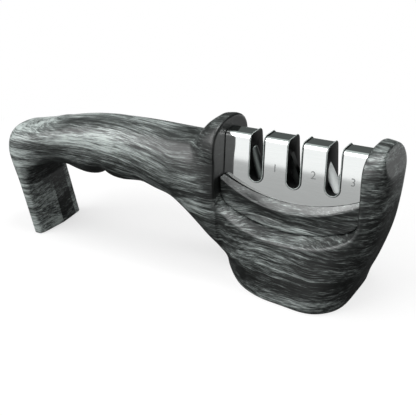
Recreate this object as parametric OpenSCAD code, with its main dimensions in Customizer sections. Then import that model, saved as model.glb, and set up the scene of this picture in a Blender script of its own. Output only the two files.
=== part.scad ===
// Three stage knife sharpener with a wood grain handle and a lift-out cartridge.
// X runs from the rear leg to the nose, Y across, Z up.
// The origin lies on the table, below the middle of the middle slot.

/* [Overall] */
// From the middle slot forward to the front of the nose
nose_reach = 45.4; // [44:0.2:56]
// From the middle slot back to the rear of the handle
tail_reach = 162.5; // [158:0.5:172]
// Table to the top of the rear horn
horn_top = 77; // [75:0.2:84]
// How much lower the nose horn is than the rear horn
nose_drop = 2; // [0:0.1:3]
// Width of the base at its widest
base_w = 54; // [50:0.5:60]
// Width of the head across the horns
horn_w = 41.4; // [40:0.2:46]
// Wall of the two shells
shell_wall = 2.6; // [2:0.1:3.2]

/* [Handle] */
// Width of the grip where the fingers close round it
grip_w = 31; // [28:0.5:36]
// Height of the grip's top at its highest
grip_top = 67.2; // [64:0.2:70]
// Height of the underside over the finger notch
grip_under = 39.4; // [37:0.2:42]
// Drop of the finger swells below the notch between them
finger_swell = 2.9; // [1:0.1:4]
// Width of the rear leg
leg_w = 34.5; // [30:0.5:38]
// Thickness of the leg at the foot
leg_t = 9; // [8.8:0.2:13]
// Radius of the hand gap where the leg meets the grip
hand_gap_r = 11.1; // [9:0.2:13]
// Height at which the leg turns into the grip
elbow_z = 27.5; // [24:0.5:30]
// Rise of the ridge down the leg's inner face
leg_ridge = 1.4; // [0:0.1:2]

/* [Saddle] */
// Gap between the inner faces of the two horns
saddle_w = 70; // [69.6:0.2:72]
// Height of the shelf at its lowest
shelf_z = 31.5; // [31:0.1:33]
// Radius of the smile curve of the shelf
shelf_r = 80; // [72:1:90]
// Fall of the chamfer outside the shelf, per unit of width
chamfer_share = 0.38; // [0.3:0.02:0.6]
// Radius where the smile turns up into the horns
saddle_fillet = 5; // [4:0.5:6.5]

/* [Cartridge] */
// Distance from slot to slot
slot_pitch = 18.6; // [18:0.1:19.4]
// Width of a slot in the steel cover
slot_w = 7.9; // [7.4:0.1:8.2]
// Height of the bottom of the slots
slot_z = 49.2; // [48:0.1:51]
// Height of the top of the steel cover
cover_top = 70.9; // [69:0.1:73]
// Width of the cover where it enters the tray
cover_foot_w = 16.8; // [16:0.1:18]
// Lean of each side of the cover, in degrees
cover_lean = 5.7; // [4:0.1:7]
// Outer radius of the cover's top edges
cover_r = 2.4; // [1.6:0.1:3]
// Thickness of the steel sheet
cover_t = 0.8; // [0.5:0.1:1]
// Wall of the black rim inside each slot
rim_wall = 0.8; // [0.6:0.1:1]
// How far the rim stands out of the steel
rim_proud = 0.35; // [0.1:0.05:0.6]
// Height of the tray's ledge at its lowest
ledge_z = 42.8; // [42:0.1:43.6]
// Radius of the smile curve of the ledge
ledge_r = 76; // [70:1:84]
// Width of the tray over its ledge at the middle
ledge_w = 33; // [31:0.2:34]
// Fall of the ledge from the cover out to its edge, at the middle
ledge_fall = 1.6; // [1:0.1:2.2]
// Width of the tray at its foot at the middle
tray_w = 32.6; // [32:0.2:35]
// How much narrower the tray is half the saddle's length from its widest place
tray_taper = 4.4; // [3:0.2:5.4]
// From the middle slot forward to the tray's widest place
tray_shift = 12; // [8:0.5:14]
// Length of the plug below the tray
plug_l = 61; // [60:0.5:62]
// Height of the bottom of the plug
plug_z = 29; // [28.4:0.2:29.6]
// Wall of the plug
plug_wall = 2.4; // [2:0.1:2.8]
// Depth of the groove that holds the foot of the cover
groove_depth = 1.2; // [1:0.1:1.6]

/* [Sharpening pieces] */
// Diameter of the diamond rods
diamond_d = 4.2; // [3.8:0.1:4.4]
// Lean of the diamond rods from upright, in degrees
diamond_lean = 19; // [16:1:22]
// Diameter of the ceramic rods
ceramic_d = 4.6; // [4:0.1:4.7]
// Lean of the ceramic rods from upright, in degrees
ceramic_lean = 28; // [22:1:28]
// Thickness of the carbide blades along the knife
blade_t = 3.2; // [2.6:0.1:3.6]
// Width of the carbide blades across the knife
blade_w = 2.6; // [2:0.1:3]
// Lean of the carbide blades from upright, in degrees
blade_lean = 21; // [18:1:24]
// Height at which each pair crosses
cross_z = 52.6; // [52:0.2:54]
// Height of the upper ends of the rods
rod_top = 64.5; // [63:0.5:66]
// Height of the frame's underside, which the keeper closes
tongue_z = 40; // [39.6:0.1:40.4]
// Thickness of the keeper below the rods
keeper_t = 2; // [1.6:0.1:2.4]

/* [Base and foot] */
// Thickness of the rubber pads
pad_t = 1.4; // [1:0.1:2]
// Height of the shells' rims above the table
rim_gap = 0.4; // [0.2:0.1:0.8]
// Thickness of the plate and the cap behind the pads
plate_t = 2; // [1.6:0.1:2.6]

/* [Screws] */
// Radius of the shell screws' shanks
shank_r = 1.5; // [1.3:0.05:1.6]
// Radius of the shell screws' heads
head_r = 2.8; // [2.5:0.1:3]
// Height of the shell screws' heads
head_h = 1.8; // [1.4:0.1:2.2]
// Radius of the bosses that take the shell screws
boss_r = 4.2; // [4:0.1:4.6]
// Radius of the small screws' shanks
small_shank_r = 1.1; // [0.9:0.05:1.2]
// Radius of the small screws' heads
small_head_r = 2; // [1.8:0.1:2.2]
// Height of the small screws' heads
small_head_h = 1.2; // [1:0.1:1.4]

/* [Hidden] */

$fn = 48;
// Gap between pieces that sit in each other
fit = 0.15;
// Gap between the cartridge and the body, which part
part_gap = 0.3;
// Gap round a screw in the hole that it grips
bite = 0.04;
// Overrun of cuts
cut = 2;
// Widest reach of the cutting blocks
far = 2 * tail_reach;

// Slot places along X
slot_places = [-slot_pitch, 0, slot_pitch];

// Points on one closed ring of the handle and of the head
handle_points = 24;
head_points = 48;

// Grip stations: place back from the middle slot over tail_reach, underside over
// grip_under with the swell's share after it, top over grip_top, half width over grip_w
elbow_share = 0.813;
grip_shares = [
  [0.813, 0.98, 0, 0.9115, 0.526],
  [0.76, 0.98, 0, 0.942, 0.51],
  [0.724, 0.99, 0.75, 0.96, 0.5],
  [0.693, 0.995, 1.1, 0.972, 0.497],
  [0.663, 0.995, 0.9, 0.98, 0.494],
  [0.627, 1, 0.05, 0.986, 0.49],
  [0.602, 1, 0.8, 0.989, 0.49],
  [0.565, 1, 1.1, 0.992, 0.494],
  [0.527, 0.995, 0.8, 0.994, 0.5],
  [0.491, 0.985, 0.5, 0.994, 0.51],
  [0.436, 0.915, 0.3, 0.991, 0.53],
  [0.38, 0.84, 0.1, 0.987, 0.56],
  [0.331, 0.695, 0, 0.986, 0.585],
  [0.283, 0.52, 0, 0.986, 0.605],
  [0.247, 0.38, 0, 0.986, 0.61],
  [0.212, 0.29, 0, 0.986, 0.595]
];
// Elbow stations: angle, outer radius over the hand gap's radius
elbow_shares = [
  [90, 3.04], [112, 2.99], [125, 3.2], [135, 3.46],
  [148, 3.19], [158, 2.7], [170, 2.26], [180, 2.05]
];
// Lean of the leg's inner face per unit of height
leg_lean_share = 0.235;
// Squareness of the head's tail at the base and at the horns, and of its nose
tail_square_shares = [2.2, 4.8];
nose_square_share = 4.6;
// Part of the height over which the base's plan turns into the horns'
horn_part_share = 0.8;
// Head levels that the rings of the outside and of the cavity lie at
outer_level_shares = [0, 0.012, 0.04, 0.1, 0.15, 0.2, 0.265, 0.33, 0.4, 0.47, 0.545, 0.62, 0.69, 0.76,
  0.805, 0.85, 0.875, 0.9, 0.92, 0.94, 0.955, 0.97, 0.98, 0.99, 1];
inner_level_shares = [0, pad_t / horn_top, (pad_t + plate_t) / horn_top,
  0.1, 0.2, 0.33, 0.47, 0.62, 0.76, 0.85, 0.9, 0.93];
// Points on one ring of the cavity, and steps of the saddle along X and out to its sides
inner_points = 32;
saddle_steps = 30;
chamfer_steps = 5;
// Places of the shell screws: in the handle over tail_reach and grip_top, and in the head
// over nose_reach and plug_z
shell_screw_shares = [[0.79, 0.75], [0.52, 0.79], [0.312, 0.565]];
head_screw_shares = [[0, 0.43], [0.62, 0.36]];
// Place of the base screws, over half the gap between the horns
base_screw_share = 0.5;
// Bosses of the base screws, how far they reach into the shells' walls, and their ribs
foot_boss_r = 3;
foot_boss_h = 9;
foot_boss_in = 0.35;
foot_rib_t = 1.6;
foot_bore_h = 7;
// Seats of the shell screws' heads behind the parting plane, and their threads' depth
seat_grip = 7;
seat_head = 14;
thread_l = 8;
// Cross recess in a screw's head, as shares of its radius and height
recess_w_share = 0.28;
recess_l_share = 1.2;
recess_h_share = 0.45;
// Steps of a rounded corner of the cover, and facets of the large smile arcs
corner_steps = 6;
smile_facets = 240;
// Overlap of the tongue with the frame above it, and the hollow of the tray's sides
tongue_join = 0.5;
tray_hollow = 0.5;
// Places of the small screws, over the pitch of the slots and the tongue's half width
keeper_screw_share = 0.715;
tray_screw_share = 1.24;
small_side_share = 0.5;
small_thread_l = 6;
// Chamfer of the rods' ends
tip = 0.4;

// Head levels: height over horn_top, tail reach over saddle_w, nose reach over
// nose_reach, flare from horn width to base width, crown of the top
head_shares = [
  [0, -0.49, 0.635, 0.86, 1],
  [0.012, -0.492, 0.655, 0.95, 1],
  [0.04, -0.5, 0.672, 1, 1],
  [0.1, -0.51, 0.705, 0.9, 1],
  [0.2, -0.56, 0.778, 0.7, 1],
  [0.33, -0.615, 0.86, 0.47, 1],
  [0.47, -0.65, 0.93, 0.29, 1],
  [0.62, -0.68, 0.975, 0.13, 1],
  [0.76, -0.69, 1.002, 0.03, 1],
  [0.85, -0.685, 1.012, 0, 0.995],
  [0.9, -0.665, 1.012, 0, 0.95],
  [0.94, -0.638, 1.003, 0, 0.84],
  [0.97, -0.608, 0.98, 0, 0.66],
  [0.99, -0.575, 0.94, 0, 0.43],
  [1, -0.545, 0.89, 0, 0.2]
];
// Width along the head from tail to nose, at the base and at the horns
plan_shares = [
  [0, 0.47, 0.9],
  [0.2, 0.78, 0.95],
  [0.35, 0.9, 0.975],
  [0.6, 1.01, 1.02],
  [0.85, 1.07, 1.01],
  [1, 0.96, 1]
];

// Smooth curve through rows of a table: column c at t
function row_at(tab, t, k = 0) =
  (k >= len(tab) - 2 || t <= tab[k + 1][0]) ? k : row_at(tab, t, k + 1);
function rise(tab, i, c) = (tab[i + 1][c] - tab[i][c]) / (tab[i + 1][0] - tab[i][0]);
function slope(tab, i, c) =
  i == 0 ? rise(tab, 0, c) :
  i == len(tab) - 1 ? rise(tab, i - 1, c) :
  let (a = tab[i][0] - tab[i - 1][0], b = tab[i + 1][0] - tab[i][0])
  (rise(tab, i - 1, c) * b + rise(tab, i, c) * a) / (a + b);
function curve(tab, t, c) =
  let (
    k = row_at(tab, t),
    h = tab[k + 1][0] - tab[k][0],
    u = min(1, max(0, (t - tab[k][0]) / h)),
    v = 1 - u
  )
  tab[k][c] * (1 + 2 * u) * v * v + tab[k + 1][c] * u * u * (3 - 2 * u)
  + h * u * v * (slope(tab, k, c) * v - slope(tab, k + 1, c) * u);
function mirrored(tab) = [for (r = tab) [-r[0], each [for (c = [1:len(r) - 1]) r[c]]]];

// Closed solid through rings of equal count
module loft(rings) {
  n = len(rings);
  m = len(rings[0]);
  polyhedron(
    [for (r = rings) each r],
    concat(
      [[for (j = [m - 1:-1:0]) j]],
      [for (i = [0:n - 2], j = [0:m - 1]) each [
        [i * m + j, i * m + (j + 1) % m, (i + 1) * m + (j + 1) % m],
        [i * m + j, (i + 1) * m + (j + 1) % m, (i + 1) * m + j]
      ]],
      [[for (j = [0:m - 1]) (n - 1) * m + j]]
    )
  );
}

// One ring of the handle between an inner and an outer point, with squareness shares
function handle_ring(pin, pout, half_w, in_share, out_share, ridge) =
  let (mid = (pin + pout) / 2, reach = (pout - pin) / 2, out = reach / norm(reach))
  [for (i = [0:handle_points - 1])
    let (
      a = 360 * i / handle_points - 180,
      n = cos(a) < 0 ? in_share : out_share,
      k = pow(pow(abs(cos(a)), n) + pow(abs(sin(a)), n), -1 / n),
      u = cos(a) * k,
      v = sin(a) * k,
      q = mid + reach * u + out * max(0, -u) * ridge * abs(v)
    )
    [q[0], half_w * v, q[1]]
  ];

// Handle: leg levels, then the turn round the hand gap, then the grip
elbow_at = [-elbow_share * tail_reach, elbow_z];
grip_table = mirrored(grip_shares);
grip_end = -grip_shares[len(grip_shares) - 1][0] * tail_reach;
// Rings along the leg, round the elbow and along the grip
leg_steps = 4;
elbow_steps = 12;
grip_steps = 38;
// Squareness of the leg's inner side and of the other sides
inner_square_share = 7;
grip_square_share = 2.5;
// Growth of the hand gap's radius from the grip to the leg
gap_growth_share = 0.135;
function gap_r(a) = hand_gap_r * (1 + gap_growth_share * (a - 90) / 90);
function polar(r, a) = elbow_at + r * [cos(a), sin(a)];
function leg_in(z) = polar(gap_r(180), 180) + (elbow_z - z) * [leg_lean_share, -1];
function leg_out(z) =
  let (top_t = hand_gap_r * elbow_shares[len(elbow_shares) - 1][1] - gap_r(180))
  leg_in(z) - [leg_t + (top_t - leg_t) * z / elbow_z, 0];
function grip_in(x) =
  let (t = x / tail_reach)
  [x, grip_under * curve(grip_table, t, 1) - finger_swell * curve(grip_table, t, 2)];
function grip_out(x) = [x, grip_top * curve(grip_table, x / tail_reach, 3)];
function leg_ring(z, wall) =
  handle_ring(leg_in(z) - [wall, 0], leg_out(z) + [wall, 0], leg_w / 2 - wall,
    inner_square_share, grip_square_share, leg_ridge);
function handle_rings(wall, foot) = concat(
  [for (i = [0:leg_steps - 1]) leg_ring(foot + (elbow_z - foot) * i / leg_steps, wall)],
  [for (i = [0:elbow_steps - 1])
    let (
      a = 180 - 90 * i / elbow_steps,
      t = i / elbow_steps,
      half_w = leg_w / 2 * (1 - t) + grip_w * grip_shares[0][4] * t,
      square = inner_square_share * (1 - t) + grip_square_share * t
    )
    handle_ring(polar(gap_r(a) + wall, a), polar(hand_gap_r * curve(elbow_shares, a, 1) - wall, a),
      half_w - wall, square, grip_square_share, leg_ridge * (1 - t))
  ],
  [for (i = [0:grip_steps])
    let (x = elbow_at[0] + (grip_end - elbow_at[0]) * i / grip_steps)
    handle_ring(grip_in(x) + [0, wall], grip_out(x) - [0, wall],
      grip_w * curve(grip_table, x / tail_reach, 4) - wall, grip_square_share, grip_square_share, 0)
  ]
);

// Head: level rings from the base to the horn tops
function head_half(z) = (horn_w + (base_w - horn_w) * curve(head_shares, z / horn_top, 3)) / 2;
function head_tail(z) = saddle_w * curve(head_shares, z / horn_top, 1);
function head_nose(z) = nose_reach * curve(head_shares, z / horn_top, 2);
function head_plan(p, f) = curve(plan_shares, p, 1) * (1 - f) + curve(plan_shares, p, 2) * f;
function head_ring(z, inset, count) =
  let (
    x0 = head_tail(z),
    x1 = head_nose(z),
    mid = (x0 + x1) / 2,
    half_l = (x1 - x0) / 2 - inset,
    crown = curve(head_shares, z / horn_top, 4),
    f = min(1, max(0, z / horn_top / horn_part_share))
  )
  [for (i = [0:count - 1])
    let (
      a = -360 * i / count,
      n = cos(a) < 0 ? tail_square_shares * [1 - f, f] : nose_square_share,
      k = pow(pow(abs(cos(a)), n) + pow(abs(sin(a)), n), -1 / n),
      u = cos(a) * k,
      v = sin(a) * k,
      x = mid + half_l * u,
      drop = nose_drop * pow(z / horn_top, 2) * (x / nose_reach + 1) / 2
    )
    [x, v * (head_half(z) * head_plan((u + 1) / 2, f) * crown - inset), z - drop]
  ];
module head_solid(inset, levels, count) {
  loft([for (s = levels) head_ring(s * horn_top, inset, count)]);
}

// Smile curves: height over a place x, the shelf's height with its rounded ends, and the
// tray's half width there
function smile(z, r, x) = z + r - sqrt(r * r - x * x);
function shelf_level(x, half) =
  let (e = min(1, max(0, abs(x) - half + saddle_fillet) / saddle_fillet))
  smile(shelf_z, shelf_r, x) + saddle_fillet * (1 - sqrt(1 - e * e));
function steps(half) = [for (i = [0:saddle_steps]) half * sin(90 * (2 * i / saddle_steps - 1))];
function tray_half(w, x) = (w - tray_taper * pow(2 * (x - tray_shift) / saddle_w, 2)) / 2;

// Space above the shelf between the horns, grown by a wall for the cavity below it
module saddle(grow) {
  half = saddle_w / 2 + grow;
  difference() {
    translate([-half, -base_w, 0]) cube([2 * half, 2 * base_w, 2 * horn_top]);
    loft([for (x = concat([-half - cut], steps(half), [half + cut]))
      let (
        xs = min(half, max(-half, x)),
        y = tray_half(tray_w, min(saddle_w / 2, max(-saddle_w / 2, xs))) + part_gap,
        z = shelf_level(xs, half) - grow,
        side = [for (k = [0:chamfer_steps])
          let (out = (base_w - y) * k / chamfer_steps)
          [y + out, z - out * chamfer_share]
        ]
      )
      concat(
        [for (k = [chamfer_steps:-1:0]) [x, -side[k][0], side[k][1]]],
        [for (p = side) [x, p[0], p[1]]],
        [[x, base_w, -base_w], [x, -base_w, -base_w]]
      )
    ]);
  }
}

// Both shells as one hollow body, cut at the parting plane, with the bosses of that side
module shell_form(side) {
  resize([0, 0, 0]) intersection() {
    difference() {
      union() {
        loft(handle_rings(0, rim_gap));
        head_solid(0, outer_level_shares, head_points);
      }
      saddle(0);
      difference() {
        union() {
          loft(handle_rings(shell_wall, -cut));
          head_solid(shell_wall, inner_level_shares, inner_points);
        }
        saddle(shell_wall);
        for (p = shell_screw_places) post(p, boss_r, side);
        for (p = base_screw_places) foot_boss(p, side);
      }
      block([plug_l / 2 + part_gap, plug_w / 2 + part_gap], plug_z, horn_top);
      block([far, far], -far, rim_gap);
    }
    translate([-far / 2, side < 0 ? -far : 0, -far / 2]) cube([far, far, far]);
  }
}

// Block centred on the origin, with half sizes along X and Y, between two heights
module block(half, low, high) {
  translate([-half[0], -half[1], low]) cube([2 * half[0], 2 * half[1], high - low]);
}

// Places of the screws along Y, as X and Z
shell_screw_places = concat(
  [for (p = shell_screw_shares) [-p[0] * tail_reach, p[1] * grip_top]],
  [for (p = head_screw_shares) [p[0] * nose_reach, p[1] * plug_z]]
);
// Half width of the head's section at the table over a place x
function foot_half(x) =
  let (x0 = head_tail(0), x1 = head_nose(0))
  head_half(0) * head_plan((x - x0) / (x1 - x0), 0);
function foot_slope(x) = (foot_half(x + cut) - foot_half(x - cut)) / (2 * cut);
// Places of the base screws against the wall, as X and distance from the parting plane
base_screw_places = [
  for (x = [-1, 1] * base_screw_share * saddle_w / 2)
    [x, foot_half(x) - (shell_wall + foot_boss_r - foot_boss_in) * norm([1, foot_slope(x)])]
];
// Distance of a shell screw's head seat behind the parting plane
function screw_seat(p) = p[0] < -saddle_w / 2 ? seat_grip : seat_head;

// Round bar along Y from the parting plane into one shell
module post(p, r, side, h = base_w) {
  translate([p[0], 0, p[1]]) rotate([side < 0 ? 90 : -90, 0, 0]) cylinder(r = r, h = h);
}

// Upright boss in the base, with a rib to the wall, and its bore with room for the screw's head
module foot_boss(p, side) {
  translate([p[0], side * p[1], pad_t + plate_t]) {
    cylinder(r = foot_boss_r, h = foot_boss_h);
    translate([-foot_rib_t / 2, side < 0 ? -base_w / 2 : 0, 0]) cube([foot_rib_t, base_w / 2, foot_boss_h]);
  }
}
module foot_bore(p, side) {
  translate([p[0], side * p[1], -cut]) {
    cylinder(r = small_shank_r + bite, h = cut + pad_t + plate_t + foot_bore_h);
    cylinder(r = small_head_r + fit, h = cut + pad_t + small_head_h + fit);
  }
}

// Screw that points up Z, with its head's seat at the origin
module screw(shank, head, head_height, length) {
  difference() {
    union() {
      cylinder(r = shank, h = length);
      translate([0, 0, -head_height]) cylinder(r = head, h = head_height);
    }
    for (a = [0, 90])
      rotate([0, 0, a]) block([head * recess_l_share / 2, head * recess_w_share / 2],
        -head_height - cut, -head_height * (1 - recess_h_share));
  }
}
module small_screw(length) {
  screw(small_shank_r, small_head_r, small_head_h, length);
}

// Profile half of the cover across X: its side at a height, inset by d
function cover_half(z, d) =
  cover_foot_w / 2 - (z - ledge_z) * tan(cover_lean) - d / cos(cover_lean);
function cover_corner(d) =
  let (zc = cover_top - cover_r, yc = cover_half(zc, cover_r))
  [for (i = [0:corner_steps])
    let (a = cover_lean + (90 - cover_lean) * i / corner_steps)
    [yc + (cover_r - d) * cos(a), zc + (cover_r - d) * sin(a)]
  ];
// Bar along X with the cover's profile, inset by d
module cover_bar(d, half_l) {
  low = ledge_z - 2 * groove_depth;
  side = concat([[cover_half(low, d), low]], cover_corner(d));
  back = [for (i = [len(side) - 1:-1:0]) [-side[i][0], side[i][1]]];
  rotate([90, 0, 90]) linear_extrude(height = 2 * half_l, center = true) polygon(concat(side, back));
}
// Space above the smile of the ledge, lowered by d
module over_ledge(d) {
  translate([0, 0, ledge_z + ledge_r])
    rotate([90, 0, 0]) cylinder(r = ledge_r + d, h = 2 * base_w, center = true, $fn = smile_facets);
}
// U slot through the cartridge at a place along X
module slot_cut(at, r) {
  translate([at, 0, slot_z + slot_w / 2]) {
    rotate([90, 0, 0]) cylinder(r = r, h = base_w, center = true);
    block([r, base_w / 2], 0, cover_top);
  }
}

// Sizes that the cartridge's pieces share
cover_half_l = saddle_w / 2 - part_gap;
tongue_half_l = plug_l / 2 - plug_wall - fit;
tongue_top = smile(ledge_z, ledge_r, tongue_half_l) + tongue_join;
tongue_half_w = cover_half(tongue_top, cover_t + fit) - fit;
plug_w = 2 * (tongue_half_w + fit + plug_wall);
pocket_z = tongue_z - keeper_t - small_head_h - fit;
tray_seat = plug_z + small_head_h + fit;
small_side = small_side_share * tongue_half_w;
keeper_screw_places = [for (s = [-1, 1]) s * [keeper_screw_share * slot_pitch, -small_side]];
tray_screw_places = [for (s = [-1, 1]) s * [tray_screw_share * slot_pitch, small_side]];
module at_places(places, z) {
  for (p = places) translate([p[0], p[1], z]) children();
}

// Axis of a rod or blade: it leans back from the slot's middle on one side of the knife
module leaning(stage, side, half_t) {
  translate([stage * slot_pitch, side * (half_t + fit / 2), cross_z])
    rotate([0, side * lean_of(stage), 0]) children();
}
function lean_of(stage) = stage < 0 ? diamond_lean : stage > 0 ? ceramic_lean : blade_lean;
// Ends along a leaning axis: the upper one, and the lower one for a piece of half width r
function upper_end(stage) = (rod_top - cross_z) / cos(lean_of(stage));
function lower_end(stage, r) =
  (tongue_z + fit + r * sin(lean_of(stage)) - cross_z) / cos(lean_of(stage));

module rod(stage, side, d) {
  r = d / 2;
  low = lower_end(stage, r);
  high = upper_end(stage);
  leaning(stage, side, r) rotate_extrude() polygon([
    [0, low], [r - tip, low], [r, low + tip], [r, high - tip], [r - tip, high], [0, high]
  ]);
}
module rod_bore(stage, side, d) {
  low = lower_end(stage, d / 2) - cut;
  leaning(stage, side, d / 2)
    translate([0, 0, low]) cylinder(d = d + 2 * bite, h = upper_end(stage) + fit - low);
}
module blade(side) {
  leaning(0, side, blade_t / 2) block([blade_w / 2, blade_t / 2], lower_end(0, blade_w / 2), upper_end(0));
}
module blade_pocket(side) {
  leaning(0, side, blade_t / 2) block([blade_w / 2 + bite, blade_t / 2 + bite],
    lower_end(0, blade_w / 2) - cut, upper_end(0) + fit);
}

module shell_color() color([0.22, 0.24, 0.23]) children();
module plastic_color() color([0.07, 0.07, 0.075]) children();
module screw_color() color([0.62, 0.63, 0.65]) children();

module front_shell() shell_color() difference() {
  shell_form(-1);
  for (p = shell_screw_places) post(p, shank_r + bite, -1, thread_l);
  for (p = base_screw_places) foot_bore(p, -1);
}

module back_shell() shell_color() difference() {
  shell_form(1);
  for (p = shell_screw_places) {
    post(p, shank_r + fit, 1);
    translate([0, screw_seat(p), 0]) post(p, head_r + fit, 1);
  }
  for (p = base_screw_places) foot_bore(p, 1);
}

// Shell screws point at the front shell, with their heads in the back shell
module shell_screws() screw_color() for (p = shell_screw_places)
  translate([p[0], screw_seat(p), p[1]]) rotate([90, 0, 0])
    screw(shank_r, head_r, head_h, screw_seat(p) + thread_l - fit);

// Flat slab that fills the head's cavity from one height to another
module base_slab(low, high) {
  loft([for (z = [low, high]) [for (p = head_ring(z, shell_wall + fit, inner_points)) [p[0], p[1], z]]]);
}
module base_plate() plastic_color() difference() {
  base_slab(pad_t, pad_t + plate_t);
  for (side = [-1, 1], p = base_screw_places) translate([p[0], side * p[1], 0]) {
    cylinder(r = small_shank_r + fit, h = pad_t + plate_t + cut);
    cylinder(r = small_head_r + fit, h = pad_t + small_head_h);
  }
}
module base_pad() color([0.12, 0.12, 0.12]) base_slab(0, pad_t);

module base_screws() screw_color() for (side = [-1, 1], p = base_screw_places)
  translate([p[0], side * p[1], pad_t + small_head_h])
    small_screw(plate_t - small_head_h + foot_bore_h - fit);

module foot_cap() plastic_color() loft([for (z = [pad_t, pad_t + plate_t]) leg_ring(z, shell_wall + fit)]);
module foot_pad() color([0.12, 0.12, 0.12]) loft([for (z = [0, pad_t]) leg_ring(z, shell_wall + fit)]);

// Sections of the tray and of its plug across X
function tray_section(x) =
  let (
    low = shelf_level(x, cover_half_l) + part_gap,
    high = smile(ledge_z, ledge_r, x),
    foot = tray_half(tray_w, x),
    top = tray_half(ledge_w, x),
    edge = high - ledge_fall * (1 - pow(x / cover_half_l, 2)),
    inner = cover_foot_w / 2 + fit,
    side = [[inner, high], [top, edge], [(foot + top) / 2 - tray_hollow, (low + edge) / 2], [foot, low]]
  )
  concat([for (p = side) [x, p[0], p[1]]], [for (k = [3:-1:0]) [x, -side[k][0], side[k][1]]]);
function plug_section(x) =
  let (high = (shelf_level(x, cover_half_l) + smile(ledge_z, ledge_r, x)) / 2)
  [[x, plug_w / 2, high], [x, plug_w / 2, plug_z], [x, -plug_w / 2, plug_z], [x, -plug_w / 2, high]];

module tray_form() resize([0, 0, 0]) difference() {
  union() {
    loft([for (x = steps(cover_half_l)) tray_section(x)]);
    loft([for (x = steps(plug_l / 2)) plug_section(x)]);
  }
  block([plug_l / 2 - plug_wall, plug_w / 2 - plug_wall], pocket_z, horn_top);
  intersection() {
    over_ledge(groove_depth);
    difference() {
      cover_bar(-fit, saddle_w);
      cover_bar(cover_t + fit, 2 * saddle_w);
    }
  }
}

module cartridge_tray() plastic_color() difference() {
  tray_form();
  at_places(tray_screw_places, plug_z - cut) {
    cylinder(r = small_shank_r + fit, h = pocket_z);
    cylinder(r = small_head_r + fit, h = tray_seat - plug_z + cut);
  }
}

module steel_cover() color([0.78, 0.79, 0.8]) difference() {
  intersection() {
    difference() {
      cover_bar(0, cover_half_l);
      cover_bar(cover_t, saddle_w);
    }
    over_ledge(groove_depth - fit);
  }
  for (at = slot_places) slot_cut(at, slot_w / 2);
}

module slot_frame() plastic_color() difference() {
  union() {
    intersection() {
      cover_bar(cover_t + fit, cover_half_l);
      over_ledge(-fit);
    }
    for (at = slot_places) intersection() {
      cover_bar(-rim_proud, cover_half_l);
      slot_cut(at, slot_w / 2 - fit);
    }
    block([tongue_half_l, tongue_half_w], tongue_z, tongue_top);
  }
  for (at = slot_places) slot_cut(at, slot_w / 2 - rim_wall);
  for (side = [-1, 1]) {
    rod_bore(-1, side, diamond_d);
    blade_pocket(side);
    rod_bore(1, side, ceramic_d);
  }
  at_places(concat(keeper_screw_places, tray_screw_places), tongue_z - cut)
    cylinder(r = small_shank_r + bite, h = cut + small_thread_l);
}

module rod_keeper() color([0.3, 0.31, 0.32]) difference() {
  block([tongue_half_l, tongue_half_w], tongue_z - keeper_t, tongue_z);
  at_places(concat(keeper_screw_places, tray_screw_places), tongue_z - keeper_t - cut)
    cylinder(r = small_shank_r + fit, h = keeper_t + 2 * cut);
}

module diamond_rod_front() color([0.36, 0.36, 0.37]) rod(-1, -1, diamond_d);
module diamond_rod_back() color([0.36, 0.36, 0.37]) rod(-1, 1, diamond_d);
module carbide_blade_front() color([0.5, 0.51, 0.53]) blade(-1);
module carbide_blade_back() color([0.5, 0.51, 0.53]) blade(1);
module ceramic_rod_front() color([0.93, 0.93, 0.91]) rod(1, -1, ceramic_d);
module ceramic_rod_back() color([0.93, 0.93, 0.91]) rod(1, 1, ceramic_d);

module keeper_screws() screw_color() at_places(keeper_screw_places, tongue_z - keeper_t)
  small_screw(keeper_t + small_thread_l - fit);
module tray_screws() screw_color() at_places(tray_screw_places, tray_seat)
  small_screw(tongue_z - tray_seat + small_thread_l - fit);

front_shell();
back_shell();
base_plate();
base_pad();
foot_cap();
foot_pad();
shell_screws();
base_screws();
cartridge_tray();
steel_cover();
slot_frame();
rod_keeper();
diamond_rod_front();
diamond_rod_back();
carbide_blade_front();
carbide_blade_back();
ceramic_rod_front();
ceramic_rod_back();
keeper_screws();
tray_screws();
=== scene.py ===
"""Looks of the knife sharpener: a wood grain body, a steel cartridge with three slots, and its rods."""

from math import atan2, cos, pi, radians, sin, tan

import bmesh
import bpy
import numpy as np
from mathutils import Matrix, Vector


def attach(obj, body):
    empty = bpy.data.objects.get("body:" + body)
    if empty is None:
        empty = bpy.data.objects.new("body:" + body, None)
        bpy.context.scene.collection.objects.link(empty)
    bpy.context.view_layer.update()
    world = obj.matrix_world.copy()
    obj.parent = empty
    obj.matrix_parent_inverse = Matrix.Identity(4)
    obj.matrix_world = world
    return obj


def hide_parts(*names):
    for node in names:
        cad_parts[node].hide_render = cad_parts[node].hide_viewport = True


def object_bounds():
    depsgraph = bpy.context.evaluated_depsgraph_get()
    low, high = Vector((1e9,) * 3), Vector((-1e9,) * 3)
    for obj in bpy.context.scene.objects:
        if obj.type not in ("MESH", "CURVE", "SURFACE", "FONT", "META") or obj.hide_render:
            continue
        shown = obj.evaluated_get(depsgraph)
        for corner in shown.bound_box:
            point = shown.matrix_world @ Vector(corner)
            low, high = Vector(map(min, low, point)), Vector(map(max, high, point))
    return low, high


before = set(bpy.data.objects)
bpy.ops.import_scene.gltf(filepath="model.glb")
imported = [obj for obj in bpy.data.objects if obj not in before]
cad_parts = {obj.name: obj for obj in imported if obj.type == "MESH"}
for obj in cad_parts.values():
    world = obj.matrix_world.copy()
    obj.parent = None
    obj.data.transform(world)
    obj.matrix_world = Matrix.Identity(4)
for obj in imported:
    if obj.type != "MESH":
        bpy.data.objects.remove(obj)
cad_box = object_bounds()

MM = 0.001

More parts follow.
